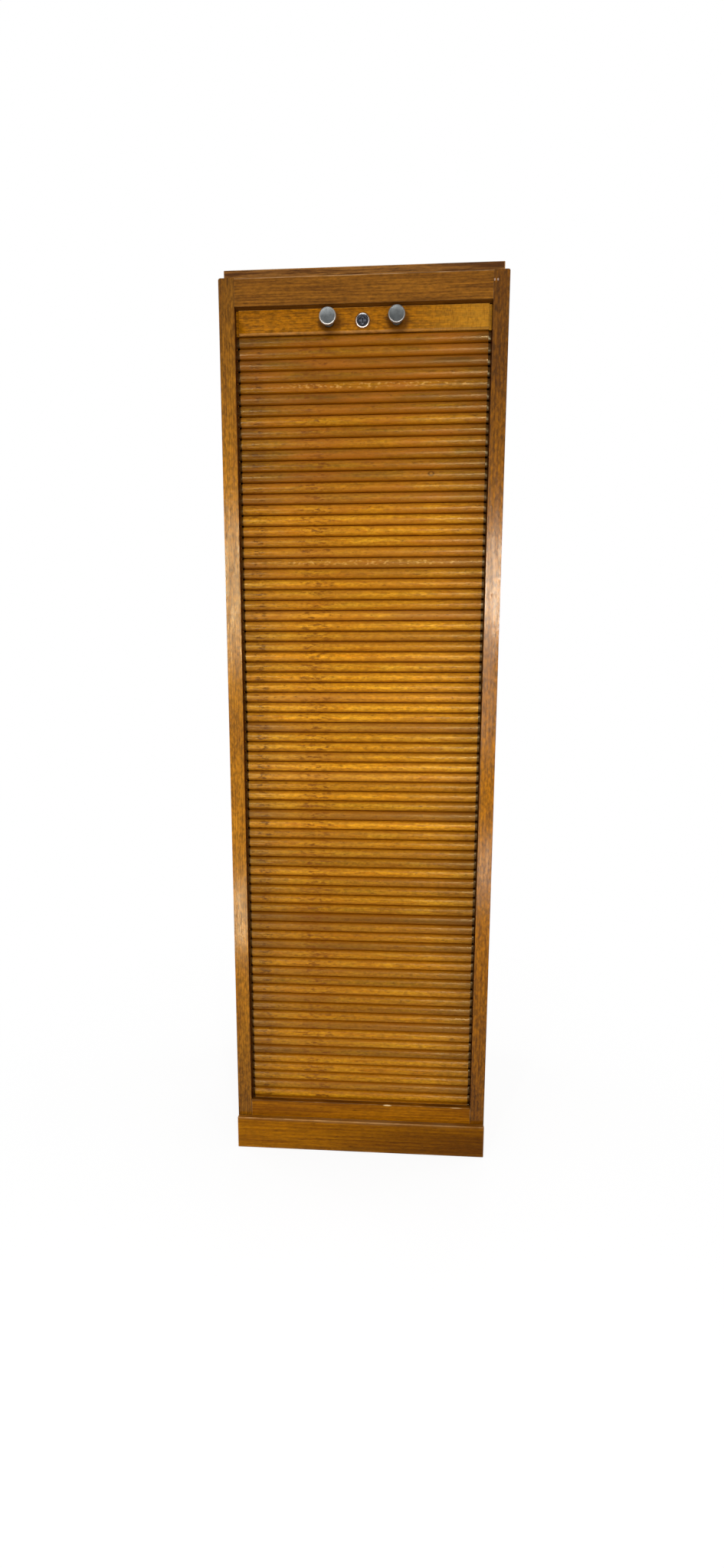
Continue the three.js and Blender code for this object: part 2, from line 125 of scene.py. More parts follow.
def new_finish(name):
    """A new material, with its node tree and its surface."""
    material = bpy.data.materials.new(name)
    material.use_nodes = True
    return material, material.node_tree, material.node_tree.nodes["Principled BSDF"]


def bumped(tree, height, strength, depth):
    """Makes the surface look raised by the height, and leaves its mesh as it is."""
    bump = add(tree, "Bump", {"Height": height, "Strength": strength, "Distance": depth}).outputs[0]
    tree.links.new(bump, tree.nodes["Principled BSDF"].inputs["Normal"])


# Turns that bring the grain of a piece onto the texture's X
grain_turns = {
    "x": (0.0, 0.0, 0.0),
    "y": (0.0, 0.0, math.radians(90)),
    "z": (0.0, math.radians(90), 0.0),
}
# One wave of a wave texture whose scale is 1, in metres
wave_length = 0.314
bare_oak = (0.62, 0.4, 0.2)


def oak(name, run, pale, dark, pith=(0.0, 0.09, 0.16), ring=0.0042, gloss=0.34, shine=0.13, arris_wear_and_highlight_level=0.6,
        blotch=0.35, streaky=0.85, long=7.0, coarse=140.0, relief_depth=0.0003, figure=None,
        mottle=0.12, tint=(1.0, 0.82, 0.45)):
    """Varnished oak: growth rings round a pith, streaks, flakes, pores, blotches, rays, and arrises painted
    paler, partly as bared wood and partly as a painted highlight.
    """
    material, tree, surface = new_finish(name)
    place = stored(tree, figure, "Vector") if figure else object_place(tree)
    turned = add(tree, "Mapping", {"Vector": place, "Location": pith, "Rotation": grain_turns[run]})
    grain = turned.outputs[0]
    wander = stretched_noise(tree, grain, (1.6, 7.0, 7.0), 3.0)
    slow = add(tree, "Mapping", {"Vector": grain, "Scale": (0.16, 1.0, 1.0)}).outputs[0]
    shift = add(tree, "VectorMath", [wander, (0.034, 0.034, 0.034)], operation="MULTIPLY").outputs[0]
    warped = add(tree, "VectorMath", [slow, shift], operation="ADD").outputs[0]
    rings = add(
        tree, "TexWave",
        {"Vector": warped, "Scale": wave_length / ring, "Distortion": 1.6, "Detail": 3.0,
         "Detail Scale": 1.4},
        wave_type="RINGS", rings_direction="X", wave_profile="SAW",
    ).outputs[1]
    streaks = stretched_noise(tree, grain, (long, coarse, coarse), 6.0, 0.66)
    flakes = stretched_noise(tree, grain, (42.0, 420.0, 420.0), 2.0, 0.6)
    pores = stretched_noise(tree, grain, (60.0, 1100.0, 1100.0), 2.0)
    clouds = stretched_noise(tree, grain, (4.0, 26.0, 26.0), 4.0)
    late = sloped(tree, rings, 0.3, 1.0, 0.0, 0.45)
    streak = sloped(tree, streaks, 0.42, 0.61, 0.0, streaky)
    colour = mixed(tree, total(tree, late, streak, use_clamp=True), opaque(pale), opaque(dark))
    stain = sloped(tree, clouds, 0.34, 0.66, 0.0, blotch)
    colour = mixed(tree, stain, colour, opaque(dark))
    flake = sloped(tree, flakes, 0.6, 0.72, 0.0, 0.6)
    colour = mixed(tree, flake, colour, opaque(dark, 0.5))
    open_pore = sloped(tree, pores, 0.6, 0.7, 0.0, 0.6)
    colour = mixed(tree, open_pore, colour, opaque(dark, 0.3))
    rays = stretched_noise(tree, grain, (105.0, 270.0, 270.0), 3.0, 0.62)
    colour = brightened(tree, colour, sloped(tree, rays, 0.37, 0.63, 1.0 + mottle, 1.0 - mottle))
    # Arrises painted paler, partly as bared wood and partly as a painted highlight
    arris_wear_and_highlight_share = sloped(tree, stretched_noise(tree, place, (38.0, 38.0, 38.0), 3.0), 0.38, 0.62, 0.15, arris_wear_and_highlight_level)
    arris_wear_and_highlight = opaque([(varnished + bare) / 2 for varnished, bare in zip(pale, bare_oak)])
    colour = mixed(tree, product(tree, stored(tree, "arris"), arris_wear_and_highlight_share), colour, arris_wear_and_highlight)
    tree.links.new(colour, surface.inputs["Base Color"])
    roughness = sloped(tree, streaks, 0.3, 0.7, gloss - 0.05, gloss + 0.09)
    tree.links.new(roughness, surface.inputs["Roughness"])
    surface.inputs["Specular IOR Level"].default_value = shine
    surface.inputs["Specular Tint"].default_value = opaque(tint)
    peel = stretched_noise(tree, grain, (230.0, 480.0, 480.0), 1.0)
    relief = total(tree, streak, product(tree, open_pore, -1.6))
    bumped(tree, total(tree, relief, product(tree, peel, 2.4)), 0.35, relief_depth)
    return material


def recoloured(material, change):
    """Puts the colour that the finish has so far through a change."""
    tree = material.node_tree
    colour = tree.nodes["Principled BSDF"].inputs["Base Color"]
    tree.links.new(change(colour.links[0].from_socket), colour)


def laid_over(material, colour, share):
    """Lays one more colour over what the finish has, where the share says."""
    tree = material.node_tree
    recoloured(material, lambda below: mixed(tree, share, below, opaque(colour)))


def deepened(material, factor, share):
    """Deepens what the finish has by a factor per channel, where the share says."""
    tree = material.node_tree
    recoloured(material, lambda below: mixed(tree, share, below, opaque(factor), "MULTIPLY"))


def patch(tree, place, middle, reach, core=0.4):
    """1 about the middle of a spot, falling to 0 at its reach along each axis."""
    apart = add(tree, "VectorMath", [place, middle], operation="SUBTRACT").outputs[0]
    share = add(tree, "VectorMath", [apart, reach], operation="DIVIDE").outputs[0]
    far = add(tree, "VectorMath", [share], operation="LENGTH").outputs["Value"]
    return sloped(tree, far, core, 1.0, 1.0, 0.0)


def spotted(material, middle, reach, colour, share, core=0.4):
    """Lays a colour over the finish about one place on the piece."""
    tree = material.node_tree
    spot = patch(tree, object_place(tree), middle, reach, core)
    laid_over(material, colour, product(tree, spot, share))


def alone(piece):
    """Only this piece is selected, and it is the active one."""
    bpy.ops.object.select_all(action="DESELECT")
    piece.select_set(True)
    bpy.context.view_layer.objects.active = piece


# Two places nearer than this are the same
touching = 2e-5


def on_box(edge, low, high):
    """Whether an edge lies along one of the twelve edges of the piece's box."""
    first, second = (v.co for v in edge.verts)
    held = [
        axis for axis in range(3)
        if any(abs(first[axis] - side[axis]) < touching and abs(second[axis] - side[axis]) < touching
               for side in (low, high))
    ]
    return len(held) >= 2


def lies_at(x=None, y=None, z=None):
    """A test of whether both ends of an edge have the coordinates that are given."""
    asked = [(axis, value) for axis, value in enumerate((x, y, z)) if value is not None]
    return lambda edge: all(abs(v.co[axis] - value) < touching for v in edge.verts for axis, value in asked)


def ease(piece, width, chosen=lambda edge: True, segments=2):
    """Bevels the chosen edges on the piece's box and marks the new faces as arris, which the finish paints
    paler, partly as bared wood and partly as a painted highlight.
    """
    alone(piece)
    bpy.ops.object.mode_set(mode="EDIT")
    bpy.ops.mesh.select_mode(type="EDGE")
    bpy.ops.mesh.select_all(action="DESELECT")
    mesh = bmesh.from_edit_mesh(piece.data)
    low = Vector(min(v.co[a] for v in mesh.verts) for a in range(3))
    high = Vector(max(v.co[a] for v in mesh.verts) for a in range(3))
    for edge in mesh.edges:
        if on_box(edge, low, high) and chosen(edge):
            edge.select_set(True)
    mesh.select_flush_mode()
    bmesh.update_edit_mesh(piece.data)
    bpy.ops.mesh.bevel(offset=width, segments=segments, affect="EDGES", clamp_overlap=True)
    mesh = bmesh.from_edit_mesh(piece.data)
    arris_wear_and_highlight = mesh.faces.layers.float.get("arris") or mesh.faces.layers.float.new("arris")
    square_on = 0.997
    for face in mesh.faces:
        if face.select and max(abs(n) for n in face.normal) < square_on:
            face[arris_wear_and_highlight] = 1.0
    bmesh.update_edit_mesh(piece.data)
    bpy.ops.object.mode_set(mode="OBJECT")
    bpy.ops.object.shade_smooth_by_angle(angle=math.radians(40))


def settle(piece, material, body, slot, *replaced):
    """Gives the piece its finish, hangs it on the body that carries it, and hides the nodes it stands for.
    """
    piece.data.materials.clear()
    piece.data.materials.append(material)
    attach(piece, body)
    if replaced:
        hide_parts(*replaced)


def grooved(node):
    """A grooved or bored member, from its node's own shape with the flat faces made whole."""
    piece = bpy.data.objects.new(node + "_wood", nodes[node].data.copy())
    bpy.context.scene.collection.objects.link(piece)
    piece.data.materials.clear()
    alone(piece)
    bpy.ops.object.mode_set(mode="EDIT")
    bpy.ops.mesh.select_all(action="SELECT")
    bpy.ops.mesh.remove_doubles(threshold=1e-6)
    bpy.ops.mesh.dissolve_limited(angle_limit=math.radians(1))
    bpy.ops.object.mode_set(mode="OBJECT")
    return piece


stile_arris = 0.0011
stile_corner = 0.0034
stile_low, stile_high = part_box("right_front_stile")
inner_side, stile_front = stile_low.x, stile_low.y


def stile_oak(word, pale, dark, top_share, top_start, top_end, foot_end, **looks):
    """A stile's finish: darker at both ends, with painted shade on the inner faces beside the slats, and
    polished only in front.
    """
    finish = oak(f"{word}_stile_oak", "z", pale, dark, streaky=0.5, long=18.0, coarse=190.0,
                 relief_depth=0.00015, **looks)
    tree = finish.node_tree
    aside, back, height = split(tree, object_place(tree))
    deepened(finish, (0.28, 0.25, 0.3), sloped(tree, height, top_start, top_end, 0.0, top_share))
    deepened(finish, (0.36, 0.32, 0.3), sloped(tree, height, 0.1, foot_end, 0.8, 0.0))
    # Painted shade on the inner faces behind the front, in the slot beside the slats' ends
    inner = sloped(tree, unsigned(tree, aside), inner_side + 0.0001, inner_side + 0.0006, 1.0, 0.0)
    behind = sloped(tree, back, stile_front + 0.0005, stile_front + 0.004)
    laid_over(finish, (0.045, 0.007, 0.0002), product(tree, product(tree, inner, behind), 0.95))
    roughness = tree.nodes["Principled BSDF"].inputs["Roughness"]
    duller = sloped(tree, back, stile_front + 0.001, stile_front + 0.003, 0.0, 0.24)
    tree.links.new(total(tree, roughness.links[0].from_socket, duller), roughness)
    return finish


left_oak = stile_oak(
    "left", (0.365, 0.142, 0.006), (0.15, 0.047, 0.002), top_share=0.85, top_start=1.25, top_end=1.64,
    foot_end=0.4, pith=(0.3, 0.03, 0.19), gloss=0.16, shine=0.2, mottle=0.32, tint=(1.0, 0.88, 0.58),
)
right_oak = stile_oak(
    "right", (0.325, 0.115, 0.001), (0.132, 0.04, 0.001), top_share=0.76, top_start=1.12, top_end=1.42,
    foot_end=0.46, pith=(0.9, 0.05, 0.33), gloss=0.15, shine=0.18, mottle=0.36, tint=(1.0, 0.92, 0.75),
)
# Two small pale scuffs, side by side near the right stile's top
for from_inside in (0.0012, 0.0063):
    scuff = (inner_side + from_inside, stile_front, stile_high.z - 0.0155)
    spotted(right_oak, scuff, (0.0017, 0.004, 0.0024), (0.5, 0.38, 0.3), 0.6)
for node, finish, outer in (
    ("left_front_stile", left_oak, -stile_high.x), ("right_front_stile", right_oak, stile_high.x),
):
    piece = grooved(node)
    ease(piece, stile_corner, lies_at(x=outer, z=stile_high.z), segments=4)
    ease(piece, stile_arris)
    settle(piece, finish, "case", "frame_oak", node)

# Side frames: behind each front stile stand a rear stile and three rails, with two flat panels set in
# grooves between them. Oak, a little plainer than the front, under the same varnish.


def board(node, width, segments=2, first=None, corner=0.0):
    """A plain board, at its node's size and place, with eased arrises, and some rounded first."""
    low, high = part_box(node)
    bpy.ops.object.select_all(action="DESELECT")
    bpy.ops.mesh.primitive_cube_add(size=1.0, location=(low + high) / 2, scale=high - low)
    piece = bpy.context.active_object
    piece.name = piece.data.name = node + "_wood"
    bpy.ops.object.transform_apply(location=True, rotation=True, scale=True)
    if first:
        ease(piece, corner, first, segments=4)
    ease(piece, width, segments=segments)
    return piece


member_arris, panel_arris = 0.0012, 0.0006
side_pale, side_dark = (0.31, 0.118, 0.01), (0.14, 0.044, 0.003)
side_upright = oak("side_upright_oak", "z", side_pale, side_dark, pith=(0.1, 0.11, 0.07))
side_level = oak("side_level_oak", "y", side_pale, side_dark, pith=(0.2, 0.07, 0.1))
side_panel = oak("side_panel_oak", "z", (0.34, 0.132, 0.012), (0.16, 0.051, 0.004),
                 pith=(0.0, 0.0, 0.29), ring=0.0062)
for word in ("left", "right"):
    for member, material in (
        ("rear_stile", side_upright), ("top_rail", side_level),
        ("middle_rail", side_level), ("bottom_rail", side_level),
    ):
        node = f"{word}_{member}"
        piece = grooved(node)
        ease(piece, member_arris)
        settle(piece, material, "case", "side_oak", node)
    for level in ("upper", "lower"):
        node = f"{word}_{level}_panel"
        settle(board(node, panel_arris), side_panel, "case", "side_oak", node)

# Plinth board: oak, planted on the front and 10 mm proud of it. Its lower edges are worn round from
# being knocked, dust lies along its upper edge, and it is stained darker to the right.


def uneven(material, scale, low, high, start, end):
    """A share that changes from place to place, as dirt and wear do."""
    tree = material.node_tree
    return sloped(tree, stretched_noise(tree, object_place(tree), scale, 4.0), low, high, start, end)


plinth_arris, worn_edge = 0.0016, 0.004
plinth_low, plinth_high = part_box("plinth_board")
plinth_oak = oak("plinth_oak", "x", (0.315, 0.116, 0.001), (0.125, 0.036, 0.001),
                 pith=(0.05, 0.02, 0.12), ring=0.0055, blotch=0.6, streaky=0.55, coarse=220.0, shine=0.08)
tree = plinth_oak.node_tree
right_end = patch(tree, object_place(tree), (0.28, plinth_low.y, 0.02), (0.42, 1.0, 0.12), core=0.1)
deepened(plinth_oak, (0.3, 0.24, 0.3), product(tree, right_end, 0.75))
kicked = uneven(plinth_oak, (18.0, 60.0, 60.0), 0.4, 0.58, 0.1, 0.9)
foot = (0.05, plinth_low.y, -0.002)
spotted(plinth_oak, foot, (0.4, 1.0, 0.018), (0.09, 0.03, 0.002), kicked, core=0.2)
dusty = uneven(plinth_oak, (14.0, 60.0, 60.0), 0.36, 0.62, 0.05, 0.35)
upper_edge = (0.0, plinth_low.y, plinth_high.z)
spotted(plinth_oak, upper_edge, (0.5, 0.03, 0.0065), (0.28, 0.16, 0.06), dusty, core=0.3)
plinth = board("plinth_board", plinth_arris, segments=3, first=lies_at(z=plinth_low.z), corner=worn_edge)
settle(plinth, plinth_oak, "case", "frame_oak", "plinth_board")

# Sill rail: a narrow oak board between the stiles, in front of the shutter's foot. Its upper edge is
# dark from hands and has one clear scratch and one faint one.
sill_arris = 0.0008
sill_low, sill_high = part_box("sill_rail")
sill_oak = oak("sill_oak", "x", (0.263, 0.091, 0.001), (0.138, 0.041, 0.001),
               pith=(0.4, 0.05, 0.1), shine=0.08)
grimy = uneven(sill_oak, (22.0, 90.0, 90.0), 0.36, 0.6, 0.25, 0.75)
upper_edge = (0.0, sill_low.y, sill_high.z)
spotted(sill_oak, upper_edge, (0.6, 0.03, 0.0034), (0.07, 0.022, 0.002), grimy, core=0.45)
# The clear scratch right of the middle, and the faint one near the right end
for middle, reach, share in (
    ((0.0535, sill_low.y, sill_high.z - 0.001), (0.0095, 0.0016, 0.0014), 0.9),
    ((0.186, sill_low.y, sill_high.z - 0.0008), (0.013, 0.0014, 0.001), 0.4),
):
    spotted(sill_oak, middle, reach, (0.72, 0.52, 0.26), share, core=0.5)
settle(board("sill_rail", sill_arris), sill_oak, "case", "frame_oak", "sill_rail")

# Header rail: oak between the stiles at the top, duller than the rest, with a mortise underneath for
# the lock's hook and a steel strike plate let in over it with two screws.


def goes_across(edge, least=0.1):
    """Whether an edge runs from side to side, over more than the least width."""
    return abs(edge.verts[0].co.x - edge.verts[1].co.x) > least


header_arris, header_edge = 0.0006, 0.0024
header_low, header_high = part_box("header_rail")
header_oak = oak("header_oak", "x", (0.245, 0.092, 0.008), (0.09, 0.029, 0.003),
                 pith=(0.7, 0.02, 0.26), ring=0.0045, gloss=0.44, streaky=0.65, coarse=200.0, mottle=0.2)
tree = header_oak.node_tree
height = split(tree, object_place(tree))[2]
# Painted shade along the underside, where the header overhangs the lead rail
underneath = sloped(tree, height, header_low.z + 0.0002, header_low.z + 0.0012, 0.5, 0.0)
laid_over(header_oak, (0.05, 0.016, 0.001), underneath)
header = grooved("header_rail")
on_top = lies_at(z=header_high.z)
ease(header, header_edge, lambda edge: on_top(edge) and goes_across(edge), segments=4)
ease(header, header_arris)
settle(header, header_oak, "case", "header_oak", "header_rail")


def metal(name, tint, gloss, marks=(400.0, 400.0, 400.0), spread=0.12):
    """Bare metal with fine working marks and slight tarnish."""
    material, tree, surface = new_finish(name)
    surface.inputs["Metallic"].default_value = 1.0
    place = object_place(tree)
    scored = stretched_noise(tree, place, marks, 3.0)
    tarnish = sloped(tree, stretched_noise(tree, place, (130.0, 130.0, 130.0), 3.0), 0.35, 0.7)
    tree.links.new(mixed(tree, tarnish, opaque(tint), opaque(tint, 0.62)), surface.inputs["Base Color"])
    roughness = sloped(tree, scored, 0.3, 0.7, gloss - spread, gloss + spread)
    tree.links.new(roughness, surface.inputs["Roughness"])
    bumped(tree, scored, 0.3, 0.0001)
    return material


def dress(material, slot, *names):
    """Gives CAD nodes whose shape is right their finish."""
    for node in names:
        nodes[node].data.materials.clear()
        nodes[node].data.materials.append(material)


steel = metal("plain_steel", (0.5, 0.5, 0.48), 0.38)
dress(steel, "steel", "strike_plate", "strike_screw_left", "strike_screw_right")

# Top board: oak, laid on the frame and set in from both sides and from the front. It is reddish with
# dark cathedral grain, and a wedge of its front edge is nearly black.
top_arris = 0.0014
top_low, top_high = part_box("top_board")
top_oak = oak("top_oak", "x", (0.345, 0.145, 0.028), (0.065, 0.02, 0.004),
              pith=(0.1, 0.06, -1.62), ring=0.0075, blotch=0.5, streaky=1.0, coarse=180.0)
wedge = (0.17, top_low.y, top_high.z + 0.0025)
spotted(top_oak, wedge, (0.085, 0.2, 0.0085), (0.035, 0.01, 0.004), 0.75, core=0.5)
settle(board("top_board", top_arris, segments=3), top_oak, "case", "top_oak", "top_board")

# Inside: floor panel, false back, and five shelves that lie on screwed cleats. Lightly sealed oak,
# paler than the outside, and a plywood false back.
shelf_arris, floor_arris, ply_arris = 0.001, 0.0005, 0.0004
sealed = {"gloss": 0.6, "shine": 0.2}
inside_oak = oak("inside_oak", "x", (0.56, 0.36, 0.17), (0.4, 0.22, 0.085),
                 pith=(0.2, 0.0, 0.21), arris_wear_and_highlight_level=0.2, **sealed)
cleat_oak = oak("cleat_oak", "y", (0.54, 0.35, 0.16), (0.38, 0.21, 0.08),
                pith=(0.2, 0.1, 0.05), arris_wear_and_highlight_level=0.2, **sealed)
plywood = oak("plywood", "z", (0.56, 0.39, 0.22), (0.46, 0.29, 0.14),
              pith=(0.0, 0.0, 0.34), ring=0.011, gloss=0.7, shine=0.15, arris_wear_and_highlight_level=0.2)
settle(board("floor_panel", floor_arris), inside_oak, "case", "inside_oak", "floor_panel")
settle(board("false_back", ply_arris), plywood, "case", "plywood", "false_back")
for i in range(1, 6):
    for node, finish in (
        (f"shelf_{i}", inside_oak), (f"cleat_{i}_left", cleat_oak), (f"cleat_{i}_right", cleat_oak),
    ):
        settle(board(node, shelf_arris), finish, "case", "inside_oak", node)

# Back: three oak rails between the rear stiles, grooved for two plywood panels. Nobody sees it, so it
# is sealed and not stained.
back_arris = 0.001
back_oak = oak("back_oak", "x", (0.42, 0.24, 0.085), (0.28, 0.13, 0.035),
               pith=(0.3, 0.3, 0.1), arris_wear_and_highlight_level=0.3, **sealed)
for node in ("rear_top_rail", "rear_middle_rail", "rear_bottom_rail"):
    piece = grooved(node)
    ease(piece, back_arris)
    settle(piece, back_oak, "case", "inside_oak", node)
for node in ("back_upper_panel", "back_lower_panel"):
    settle(board(node, ply_arris), plywood, "case", "plywood", node)

# Slats: 83 half-round oak slats, 77 in view and 6 behind the sill and round the bend of the track.
# Each is one moulding with its ends cut down to tongues that run in the tracks.
visible_slats, hidden_slats = 77, 6
slat_count = visible_slats + hidden_slats
lead_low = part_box("lead_rail")[0]
curtain_low, curtain_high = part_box("slat_curtain")
shutter_top = lead_low.z
pitch = (shutter_top - sill_high.z) / visible_slats
slat_gap, slat_thickness, slat_shoulder = 0.0005, 0.009, 0.0016
half_slat = (pitch - slat_gap) / 2
slat_valley, seat_gap, tongue_thickness = 0.003, 0.0003, 0.0046
slat_reach, tongue_reach = 0.209, curtain_high.x
tongue_inset, tongue_back, tongue_share = 0.0006, 0.0006, (1.0, 0.5, 0.95)
track_line = curtain_low.y + slat_valley + seat_gap + tongue_thickness / 2
slat_front = curtain_low.y - track_line
slat_rear = slat_front + slat_thickness
bend_level, bend_radius = 0.077, 0.05
travel = 1.39


def carried(down):
    """Where the middle of the track lies that far down the curtain, and how far it has turned."""
    straight = shutter_top - bend_level
    quarter = bend_radius * math.pi / 2
    if down <= straight:
        return Vector((0.0, track_line, shutter_top - down)), 0.0
    if down <= straight + quarter:
        turn = (down - straight) / bend_radius
        middle = Vector((0.0, track_line + bend_radius, bend_level))
        return middle + bend_radius * Vector((0.0, -math.cos(turn), -math.sin(turn))), turn
    along = down - straight - quarter
    return Vector((0.0, track_line + bend_radius + along, bend_level - bend_radius)), math.pi / 2


def select_by(piece, kind, test):
    """In edit mode, selects the faces or edges that pass the test, and nothing else."""
    bpy.ops.mesh.select_mode(type=kind)
    bpy.ops.mesh.select_all(action="DESELECT")
    mesh = bmesh.from_edit_mesh(piece.data)
    for part in mesh.faces if kind == "FACE" else mesh.edges:
        if test(part):
            part.select_set(True)
    mesh.select_flush_mode()
    bmesh.update_edit_mesh(piece.data)


def make_slat():
    """One slat about the middle of the track: a half-round front, and tongues at both ends."""
    flat_front = slat_rear - slat_shoulder
    middle = flat_front - half_slat / 2
    bpy.ops.object.select_all(action="DESELECT")
    bpy.ops.mesh.primitive_cube_add(
        size=1.0, location=(0.0, middle, 0.0), scale=(2 * slat_reach, half_slat, 2 * half_slat)
    )
    slat = bpy.context.active_object
    bpy.ops.object.transform_apply(location=True, rotation=True, scale=True)
    bpy.ops.object.mode_set(mode="EDIT")
    select_by(slat, "EDGE", lambda edge: all(v.co.y < middle for v in edge.verts) and goes_across(edge))
    bpy.ops.mesh.bevel(offset=0.995 * half_slat, segments=8, profile=0.5, affect="EDGES")
    bpy.ops.mesh.select_all(action="SELECT")
    flatter = (1.0, (flat_front - slat_front) / half_slat, 1.0)
    bpy.ops.transform.resize(value=flatter, center_override=(0.0, flat_front, 0.0))
    select_by(slat, "FACE", lambda face: face.normal.y > 0.9)
    bpy.ops.mesh.extrude_region_move(TRANSFORM_OT_translate={"value": (0.0, slat_shoulder, 0.0)})
    for side in (-1, 1):
        select_by(slat, "FACE", lambda face, side=side: face.normal.x * side > 0.9)
        bpy.ops.mesh.dissolve_faces()
        bpy.ops.mesh.inset(thickness=tongue_inset)
        root = (side * slat_reach, tongue_back, 0.0)
        bpy.ops.transform.resize(value=tongue_share, center_override=root)
        outwards = (side * (tongue_reach - slat_reach), 0, 0)
        bpy.ops.mesh.extrude_region_move(TRANSFORM_OT_translate={"value": outwards})
    bpy.ops.mesh.select_all(action="SELECT")
    bpy.ops.mesh.remove_doubles(threshold=1e-6)
    bpy.ops.mesh.normals_make_consistent(inside=False)
    bpy.ops.object.mode_set(mode="OBJECT")
    bpy.ops.object.shade_smooth_by_angle(angle=math.radians(50))
    return slat


slat_oak = oak("slat_oak", "x", (0.55, 0.262, 0.011), (0.352, 0.12, 0.001), pith=(0.3, 0.02, 0.2),
               gloss=0.2, shine=0.18, long=24.0, coarse=360.0, relief_depth=0.0002, figure="figure",
               mottle=0.25, streaky=0.62)
# The pattern of each slat is taken this much further along the texture's Y
row_step = 0.05
crown_depth = -0.0055
tree = slat_oak.node_tree
local = stored(tree, "figure", "Vector")
along, row_place, height = split(tree, local)
# Grey-brown slats, from other planks
patchy = sloped(tree, stretched_noise(tree, local, (5.0, 40.0, 40.0), 3.0), 0.3, 0.7, -0.4, 0.4)
blend = total(tree, stored(tree, "tone"), patchy)
laid_over(slat_oak, (0.2, 0.078, 0.014), sloped(tree, blend, 0.0, 1.0, 0.75, 0.0))
# Painted shade: the slats are darker above and below the palest row, for the light that falls off towards
# the top and the foot
deepened(slat_oak, (0.473, 0.44, 0.28), stored(tree, "shade"))
# No two planks are equally pale
light = stored(tree, "light")
recoloured(slat_oak, lambda below: brightened(tree, below, light))
# Redder stretches, in the upper rows above all
reddish = sloped(tree, stretched_noise(tree, local, (9.0, 70.0, 70.0), 3.0), 0.42, 0.64, 0.0, 0.7)
upper_rows = sloped(tree, row_place, 10 * row_step, 36 * row_step, 0.9, 0.2)
laid_over(slat_oak, (0.3, 0.088, 0.006), product(tree, reddish, upper_rows))
# Dark flecks, which many slats have at the same places, as they were sawn from the same planks
fleck_noise = stretched_noise(tree, local, (75.0, 260.0, 260.0), 3.0, 0.6)
crowded = sloped(tree, fleck_noise, 0.5, 0.61, 0.0, 0.78)
for middle, reach, colour in (
    (-0.182, 0.016, (0.08, 0.022, 0.002)), (-0.083, 0.04, (0.125, 0.032, 0.002)),
):
    apart = add(tree, "Math", [along, middle], operation="SUBTRACT").outputs[0]
    near = sloped(tree, unsigned(tree, apart), 0.4 * reach, reach, 1.0, 0.0)
    laid_over(slat_oak, colour, product(tree, near, crowded))
laid_over(slat_oak, (0.085, 0.028, 0.004), sloped(tree, fleck_noise, 0.62, 0.7, 0.0, 0.65))
# Pale rays in a row on two slats, and one small knot
rays = sloped(tree, stretched_noise(tree, local, (130.0, 330.0, 330.0), 1.0), 0.54, 0.68, 0.0, 0.5)
for row in (4, 20):
    middle = (0.03, row * row_step + crown_depth, 0.0)
    along_row = patch(tree, local, middle, (0.23, 0.02, 0.0055), core=0.6)
    laid_over(slat_oak, (0.62, 0.34, 0.08), product(tree, along_row, rays))
knot_middle = (0.118, 12 * row_step + crown_depth, 0.001)
for reach, colour in ((0.0056, (0.045, 0.014, 0.002)), (0.0026, (0.3, 0.12, 0.012))):
    knot = patch(tree, local, knot_middle, (1.3 * reach, 0.02, reach), core=0.55)
    laid_over(slat_oak, colour, product(tree, knot, 0.85))
# The flanks are painted darker than the crowns, as shade on the round fronts, and the joints darker still,
# as grime and painted shade
off_crown = unsigned(tree, height)
laid_over(slat_oak, (0.235, 0.07, 0.0005), sloped(tree, off_crown, 0.001, 0.0084, 0.0, 0.6))
laid_over(slat_oak, (0.2, 0.045, 0.0003), sloped(tree, off_crown, 0.0068, 0.0086, 0.0, 0.25))
# The ends are darker towards the stiles, and the tongues are painted nearly black, as shade in the tracks
off_middle = unsigned(tree, along)
deepened(slat_oak, (0.55, 0.52, 0.5), sloped(tree, off_middle, 0.13, 0.205, 0.0, 0.65))
on_tongue = sloped(tree, off_middle, slat_reach, slat_reach + 0.0004, 0.0, 0.85)
laid_over(slat_oak, (0.03, 0.01, 0.001), on_tongue)


def figured(piece, middle):
    """Keeps each point's place about the middle, for patterns that belong to the piece."""
    figure = piece.data.attributes.new("figure", "FLOAT_VECTOR", "POINT")
    for vertex, value in zip(piece.data.vertices, figure.data):
        value.vector = vertex.co - middle


def marked(piece, name, number):
    """Keeps one number for the whole piece, which its finish reads."""
    kept = piece.data.attributes.new(name, "FLOAT", "POINT")
    kept.data.foreach_set("value", [number] * len(kept.data))


def within(number, least, most):
    return min(most, max(least, number))


palest_slat = 40


def painted_falloff_share(i):
    """How much painted shade a slat gets for the light falling off: none on the palest row, and more farther
    away.
    """
    away = i - palest_slat
    return min(1.0, 1.35 * (away / palest_slat) ** 2) if away < 0 else min(0.69, 0.047 * away)


